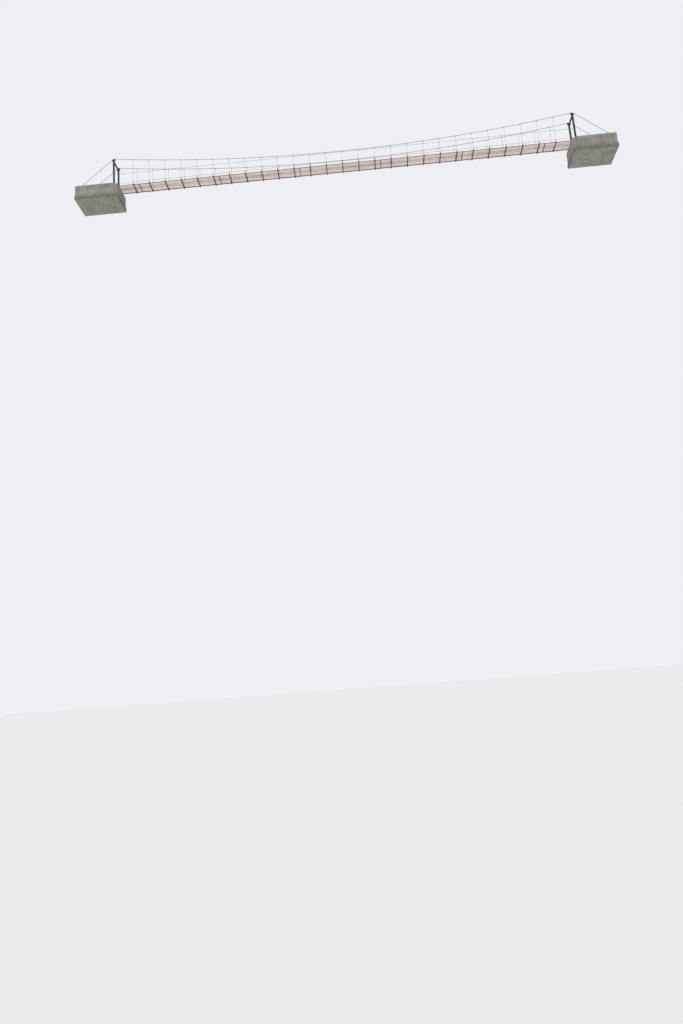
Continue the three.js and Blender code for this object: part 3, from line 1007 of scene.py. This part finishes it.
class BuildDeckMesh(Operator):
    """Weave the open steel mesh of the deck, with dirt in the trodden strip"""

    bl_idname = "footbridge.deck_mesh"
    bl_label = "Deck mesh"

    def execute(self, context):
        chance = random.Random(DIRT_SEED)
        for number in range(1, len(JOINTS) + 2):
            node = f"deck_mesh_{number}"
            low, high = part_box(node)
            columns = 2 * round((high.x - low.x) / sizes().mesh_long)
            rows = 2 * round((high.y - low.y) / sizes().mesh_short)
            strands = expanded_mesh(low, high, columns, rows)
            dirt = mesh_dirt(low, high, columns, rows, chance)
            steel = finish_of(weathered_and_sky_lit_mesh)
            piece(f"{node}_strands", strands, steel, [node], sharp=0, facing_out=True)
            piece(f"{node}_dirt", dirt, finish_of(packed_dirt), [node], sharp=0)
        return {"FINISHED"}


def strand_section():
    """The corners, across and up, of a strand that lies tilted in the mesh."""
    tilt = math.radians(10)
    section = []
    for a, b in CORNER_SIGNS:
        across = a * sizes().strand_width / 2
        deep = b * sizes().strand_depth / 2
        tilted_across = across * math.cos(tilt) - deep * math.sin(tilt)
        tilted_up = across * math.sin(tilt) + deep * math.cos(tilt)
        section.append((tilted_across, tilted_up))
    return section


def expanded_mesh(low, high, columns, rows):
    """One sheet between two corners: strands that zigzag along it and meet at knots, and its two edges."""
    step_x = (high.x - low.x) / columns
    step_y = (high.y - low.y) / rows
    middle = (low.z + high.z) / 2
    section = strand_section()
    strands = Shape()
    knots = {}
    for i in range(columns + 1):
        for j in range(i % 2, rows + 1, 2):
            knots[i, j] = len(strands.corners)
            x = low.x + i * step_x
            y = low.y + j * step_y
            inward = 0.004 if j == 0 else (-0.004 if j == rows else 0.0)
            strands.corners.extend((x, y + inward + dy, middle + dz) for dy, dz in section)
    for (i, j), here in knots.items():
        if i == 0:
            strands.faces.append([here + 3, here + 2, here + 1, here])
        if i == columns:
            strands.faces.append([here, here + 1, here + 2, here + 3])
        for up in (-1, 1):
            there = knots.get((i + 1, j + up))
            if there is None:
                continue
            for k in range(4):
                m = (k + 1) % 4
                strands.faces.append([here + k, here + m, there + m, there + k])
    edge_width = 0.006
    for y in (low.y + edge_width / 2, high.y - edge_width / 2):
        strands.block(((low.x + high.x) / 2, y, middle), (high.x - low.x, edge_width, 0.004))
    return strands


def mesh_dirt(low, high, columns, rows, chance):
    """Crumbs of dirt in the sharp corners of the openings, thick in the trodden strip."""
    step_x = (high.x - low.x) / columns
    step_y = (high.y - low.y) / rows
    level = (low.z + high.z) / 2
    dirt = Shape()
    for i in range(1, columns):
        x = low.x + i * step_x
        # More and less of it along the bridge, in long waves.
        drift = 0.5 + 0.4 * math.cos(0.7 * (x + 7.3)) + 0.1 * math.sin(1.9 * x)
        amount = sizes().clogged * (0.55 + 0.5 * drift)
        for j in range(1 + i % 2, rows, 2):
            y = low.y + j * step_y
            inside = 0.04 + math.exp(-(((y - TRODDEN_MIDDLE) / TRODDEN_REACH) ** 2))
            for end in (-1, 1):
                if chance.random() < amount * inside:
                    reach = 0.65 + 0.4 * chance.random()
                    skew = chance.uniform(-0.25, 0.25)
                    dirt.join(crumb(x, y, level, end * step_x, step_y, reach, skew))
    return dirt


def crumb(x, y, level, step_x, step_y, reach, skew):
    """A lump that fills the sharp corner at step_x from the middle (x, y) of an opening."""
    tip = x + step_x
    one = reach * (1.0 + skew)
    other = reach * (1.0 - skew)
    back = tip - step_x * reach * 0.85
    ring = [
        (tip, y, level),
        (tip - step_x * one, y + step_y * one, level),
        (back, y + step_y * skew * 0.4, level),
        (tip - step_x * other, y - step_y * other, level),
    ]
    middle = tip - step_x * reach * 0.5
    peaks = [(middle, y, level + 0.0016), (middle, y, level - 0.0018)]
    faces = []
    for k in range(4):
        m = (k + 1) % 4
        faces += [[k, m, 4], [m, k, 5]]
    return Shape().add([*ring, *peaks], faces)


class BuildDeckFrames(Operator):
    """Paint the deck frames, bolt their joints and hold the mesh down"""

    bl_idname = "footbridge.deck_frames"
    bl_label = "Deck frames"

    def execute(self, context):
        for number in range(1, len(JOINTS) + 2):
            dress_node(f"deck_frame_{number}", finish_of(dark_painted_steel))
        bolts = Shape()
        for x in JOINTS:
            for y in (-0.36, -0.12, 0.12, 0.36):
                bolts.bolt((x - 0.021, y, JOINT_BOLT_Z), (x + 0.036, y, JOINT_BOLT_Z), 0.008)
        piece("deck_joint_bolts", bolts, aged_zinc())
        washers = Shape()
        for k in range(-BAYS_EACH_WAY, BAYS_EACH_WAY + 1):
            for y in (-0.47, -0.165, 0.165, 0.47):
                washers.join(mesh_washer(), Matrix.Translation((k * BAY, y, DECK_TOP)))
        piece("deck_mesh_washers", washers, aged_zinc())
        return {"FINISHED"}


def mesh_washer():
    """A wide washer on the mesh, with its bolt's head above it and shank below, around the deck's top."""
    shape = Shape().turned((0, 0, -0.003), (0, 0, 0.0022), [(0, 0.024), (0.7, 0.024), (1, 0.021)], 14)
    shape.rod((0, 0, 0.002), (0, 0, 0.0075), 0.0095, 6)
    return shape.rod((0, 0, -0.03), (0, 0, 0.002), 0.005, 8)


# Portals, saddles and anchors.


class BuildPortals(Operator):
    """Stand the portal posts on their base plates and put the beams between them"""

    bl_idname = "footbridge.portals"
    bl_label = "Portals"

    def execute(self, context):
        paint = finish_of(dark_painted_steel)
        for end in ENDS:
            turn = turned_end(end)
            bolts = Shape()
            for side in SIDES:
                y = swapped(end, side) * ROPE_Y
                node = f"{end}_{side}_post"
                shape = Shape().join(post(y), turn)
                piece(f"{node}_steelwork", shape, paint, [node], bevel=0.002)
                for dx, dy in bolt_places(0.095, 0.095):
                    place = Matrix.Translation((POST_X + dx, y + dy, DECK_TOP + PLATE_THICKNESS))
                    bolts.join(anchor_nut(), turn @ place)
            node = f"{end}_portal_beam"
            shape = Shape().join(portal_beam(), turn)
            piece(f"{node}_steelwork", shape, paint, [node], bevel=0.002)
            piece(f"{end}_post_anchor_bolts", bolts, new_zinc())
        return {"FINISHED"}


def post(y):
    """A hollow-section post with its base plate, its two gussets and the weld round its foot."""
    plate_top = DECK_TOP + PLATE_THICKNESS
    shaft = rounded_square(POST_SIDE, POST_ROUNDING)
    base = rounded_square(BASE_PLATE_SIDE, 0.012, 3)
    weld = rounded_square(POST_SIDE + 0.018, 0.02)
    shape = Shape().upright(POST_X, y, [(shaft, plate_top - 0.002), (shaft, POST_TOP)])
    shape.upright(POST_X, y, [(base, DECK_TOP), (base, plate_top)])
    shape.upright(POST_X, y, [(weld, plate_top), (shaft, plate_top + 0.009)])
    for direction in (-1, 1):
        near = POST_X + direction * (POST_SIDE / 2 - 0.002)
        far = POST_X + direction * (POST_SIDE / 2 + 0.055)
        gusset = [(near, plate_top - 0.001), (far, plate_top - 0.001), (far, plate_top + 0.012)]
        shape.plate([*gusset, (near, plate_top + 0.12)], y, 0.01)
    return shape


def anchor_nut():
    """A threaded stud with a nut and washer, standing on a plate at z = 0."""
    shape = Shape().rod((0, 0, 0), (0, 0, 0.003), 0.019, 14)
    shape.rod((0, 0, 0.003), (0, 0, 0.019), 0.0165, 6)
    return shape.thread((0, 0, 0.019), (0, 0, 0.041), 0.0092, 0.0100, 12)


def portal_beam():
    """A hollow-section beam with a knee plate and its weld under each end."""
    half = ROPE_Y - POST_SIDE / 2
    under = PORTAL_BEAM_Z - PORTAL_BEAM_SIDE / 2
    section = [(POST_X + a, PORTAL_BEAM_Z + b) for a, b in rounded_square(PORTAL_BEAM_SIDE, 0.012)]
    shape = Shape().rings([[(x, y, z) for x, z in section] for y in (-half, half)])
    for side in (-1, 1):
        outer = side * half
        inner = side * (half - KNEE_REACH)
        knee = [(outer, under + 0.001), (inner, under + 0.001), (inner, under - 0.008)]
        knee += [(side * (half - 0.012), under - KNEE_REACH), (outer, under - KNEE_REACH)]
        shape.plate(knee, POST_X, 0.012, across="x")
        shape.rod((POST_X, inner, under), (POST_X, outer, under), 0.009, 8)
    return shape


class BuildSaddles(Operator):
    """Paint the saddles and bolt them to the posts"""

    bl_idname = "footbridge.saddles"
    bl_label = "Saddles"

    def execute(self, context):
        bolts = Shape()
        for corner, turn, y in ends_and_sides(ROPE_Y):
            dress_node(f"{corner}_saddle", finish_of(dark_painted_steel, "greasy_saddle_steel", 0.02))
            for dx, dy in bolt_places(0.105, 0.044):
                head = (POST_X + dx, y + dy, POST_TOP + PLATE_THICKNESS)
                tip = (POST_X + dx, y + dy, POST_TOP - 0.02)
                bolts.join(Shape().bolt(head, tip, 0.006), turn)
        piece("saddle_bolts", bolts, new_zinc())
        return {"FINISHED"}


class BuildAnchors(Operator):
    """Dress the anchor lugs and put nuts on their studs"""

    bl_idname = "footbridge.anchors"
    bl_label = "Anchors"

    def execute(self, context):
        studs = Shape()
        for corner, turn, y in ends_and_sides(ROPE_Y):
            dress_node(f"{corner}_anchor", new_zinc())
            for dx, dy in bolt_places(0.106, 0.085):
                place = Matrix.Translation((anchor_eye_x() + dx, y + dy, UPSTAND_TOP + PLATE_THICKNESS))
                studs.join(anchor_nut(), turn @ place)
        piece("anchor_studs", studs, new_zinc())
        return {"FINISHED"}


# Abutments.


class BuildAbutments(Operator):
    """Cast the abutments with chamfered edges and lay the tread plates at the deck's ends"""

    bl_idname = "footbridge.abutments"
    bl_label = "Abutments"

    def execute(self, context):
        for end in ENDS:
            turn = turned_end(end)
            node = f"{end}_abutment"
            cast = Shape().join(abutment(), turn)
            concrete = finish_of(weathered_concrete)
            piece(f"{node}_concrete", cast, concrete, [node], bevel=sizes().chamfer)
            node = f"{end}_landing_plate"
            plate = Shape().join(tread_plate(), turn)
            piece(f"{node}_tread", plate, new_zinc(), [node])
        return {"FINISHED"}


def abutment():
    """The stem with its seat for the deck, the footing, and the upstands that carry the anchors.

    The stem and the upstands are sunk by almost a chamfer, so that no open groove runs round their feet.
    """
    sunk = sizes().chamfer * 0.95
    stem = [
        (ABUTMENT_FRONT, FOOTING_TOP - sunk),
        (ABUTMENT_BACK, FOOTING_TOP - sunk),
        (ABUTMENT_BACK, DECK_TOP),
        (BACKWALL_FRONT, DECK_TOP),
        (BACKWALL_FRONT, BEAM_BOTTOM),
        (ABUTMENT_FRONT, BEAM_BOTTOM),
    ]
    shape = Shape().plate(stem, 0.0, STEM_WIDTH)
    shape.box((ABUTMENT_FRONT, -FOOTING_HALF_WIDTH, 0.0), (ABUTMENT_BACK, FOOTING_HALF_WIDTH, FOOTING_TOP))
    for y in (-ROPE_Y, ROPE_Y):
        low = (UPSTAND_FRONT, y - UPSTAND_HALF_WIDTH, DECK_TOP - sunk)
        shape.box(low, (ABUTMENT_BACK, y + UPSTAND_HALF_WIDTH, UPSTAND_TOP))
    return shape


def tread_plate():
    """A plate with raised tears, over the joint between the deck and the abutment."""
    ring = [(0.011 * math.cos(a), 0.0034 * math.sin(a)) for a in arc(0, 300, 5)]
    top = [(0.6 * x, 0.6 * y) for x, y in ring]
    tear = Shape().upright(0, 0, [(ring, 0.0), (top, 0.0014)])
    low = (LANDING_START, -LANDING_HALF_WIDTH, DECK_TOP)
    shape = Shape().box(low, (LANDING_END, LANDING_HALF_WIDTH, LANDING_TOP))
    pitch = 0.026
    margin = 0.02
    for i in range(11):
        for j in range(31):
            x = LANDING_START + margin + i * pitch
            y = margin - LANDING_HALF_WIDTH + j * pitch
            lean = Matrix.Rotation(math.radians(45 if (i + j) % 2 else -45), 4, "Z")
            shape.join(tear, Matrix.Translation((x, y, LANDING_TOP)) @ lean)
    return shape


# Stage.


class BuildStage(Operator):
    """Lay the plain floor and set the soft lights, the backdrop and the camera"""

    bl_idname = "footbridge.stage"
    bl_label = "Stage"

    def execute(self, context):
        lap = 1.5 * sizes().chamfer
        hole = (ABUTMENT_FRONT + lap, ABUTMENT_BACK - lap)
        holes = [(-hole[1], -hole[0]), hole]
        floor_at("floor", FLOOR_Z, 500.0, holes, FOOTING_HALF_WIDTH - lap, one_sided=True)
        floor_at("lower_floor", LOWER_FLOOR_Z, 2500.0, [], 0.0, one_sided=False)
        add_lights(context.scene)
        add_camera(context.scene)
        context.scene.view_settings.view_transform = "Standard"
        return {"FINISHED"}


def floor_at(name, height, reach, holes, half_width, one_sided):
    """A plain floor with openings under the abutments: (start, end) pairs, and half their width."""
    xs = [-reach, *[edge for hole in holes for edge in hole], reach]
    ys = [-reach, -half_width, half_width, reach] if holes else [-reach, reach]
    shape = Shape()
    for x0, x1 in zip(xs, xs[1:]):
        for y0, y1 in zip(ys, ys[1:]):
            if (x0, x1) in holes and y0 == -half_width:
                continue
            tile = [(x0, y0, height), (x1, y0, height), (x1, y1, height), (x0, y1, height)]
            shape.add(tile, [[0, 1, 2, 3]])
    mesh = bpy.data.meshes.new(name)
    mesh.from_pydata(shape.corners, [], shape.faces)
    mesh.materials.append(floor_finish(name, one_sided))
    made = bpy.data.objects.new(name, mesh)
    bpy.context.scene.collection.objects.link(made)


def floor_finish(name, one_sided):
    """Pale matt paint. A viewer below a one-sided floor looks through it."""
    look = Finish(f"{name}_paint")
    if one_sided:
        below = look.node("ShaderNodeNewGeometry", output="Backfacing")
        painted = Value(look, look.shader.outputs[0])
        clear = look.node("ShaderNodeBsdfTransparent")
        chosen = look.node("ShaderNodeMixShader", None, {0: below, 1: painted, 2: clear})
        look.feed(look.output.inputs[0], chosen)
    return look.finish(base_color=colours().floor, roughness=0.9)


def add_lights(scene):
    """A soft key light from above, and a pale sky all round."""
    sun = bpy.data.lights.new("key_light", "SUN")
    sun.energy = 1.1
    sun.angle = math.radians(14)
    sun.color = (1.0, 0.985, 0.96)
    key = bpy.data.objects.new("key_light", sun)
    key.rotation_euler = (math.radians(38), 0.0, math.radians(-32))
    scene.collection.objects.link(key)
    world = bpy.data.worlds.new("soft_studio")
    world.use_nodes = True
    background = world.node_tree.nodes["Background"]
    background.inputs["Color"].default_value = (0.94, 0.96, 1.0, 1.0)
    background.inputs["Strength"].default_value = 0.9
    scene.world = world


def add_camera(scene):
    """The photograph's viewpoint: far below the deck, in front of mid-span, looking up."""
    flat = math.cos(CAMERA_PITCH)
    ahead = Vector((math.sin(CAMERA_YAW) * flat, math.cos(CAMERA_YAW) * flat, math.sin(CAMERA_PITCH)))
    level = Vector((math.cos(CAMERA_YAW), -math.sin(CAMERA_YAW), 0.0))
    upright = level.cross(ahead)
    right = math.cos(CAMERA_ROLL) * level + math.sin(CAMERA_ROLL) * upright
    up = -math.sin(CAMERA_ROLL) * level + math.cos(CAMERA_ROLL) * upright
    lens = bpy.data.cameras.new("camera")
    lens.sensor_width = SENSOR
    lens.lens = LENS
    lens.clip_end = 4000.0
    camera = bpy.data.objects.new("camera", lens)
    place = Matrix((right, up, -ahead)).transposed().to_4x4()
    place.translation = CAMERA_PLACE
    camera.matrix_world = place
    scene.collection.objects.link(camera)
    scene.camera = camera


class FootbridgePanel(Panel):
    """Lists the bridge's pieces, sizes and colours in the sidebar"""

    bl_idname = "VIEW3D_PT_footbridge"
    bl_label = "Footbridge"
    bl_space_type = "VIEW_3D"
    bl_region_type = "UI"
    bl_category = "Footbridge"

    def draw(self, context):
        for operator in BUILDERS:
            self.layout.operator(operator.bl_idname)
        for group in (context.scene.footbridge_sizes, context.scene.footbridge_colours):
            box = self.layout.box()
            for name in type(group).__annotations__:
                box.prop(group, name)


BUILDERS = (
    BuildStage,
    BuildMainRopes,
    BuildHangers,
    BuildHandrails,
    BuildTurnbuckles,
    BuildDeckMesh,
    BuildDeckFrames,
    BuildPortals,
    BuildSaddles,
    BuildAnchors,
    BuildAbutments,
)
CLASSES = (FootbridgeSizes, FootbridgeColours, *BUILDERS, FootbridgePanel)


def register():
    for added in CLASSES:
        bpy.utils.register_class(added)
    bpy.types.Scene.footbridge_sizes = PointerProperty(type=FootbridgeSizes)
    bpy.types.Scene.footbridge_colours = PointerProperty(type=FootbridgeColours)


def unregister():
    del bpy.types.Scene.footbridge_colours
    del bpy.types.Scene.footbridge_sizes
    for added in reversed(CLASSES):
        bpy.utils.unregister_class(added)


def main():
    register()
    for builder in BUILDERS:
        group, name = builder.bl_idname.split(".")
        getattr(getattr(bpy.ops, group), name)()


if __name__ == "__main__":
    main()
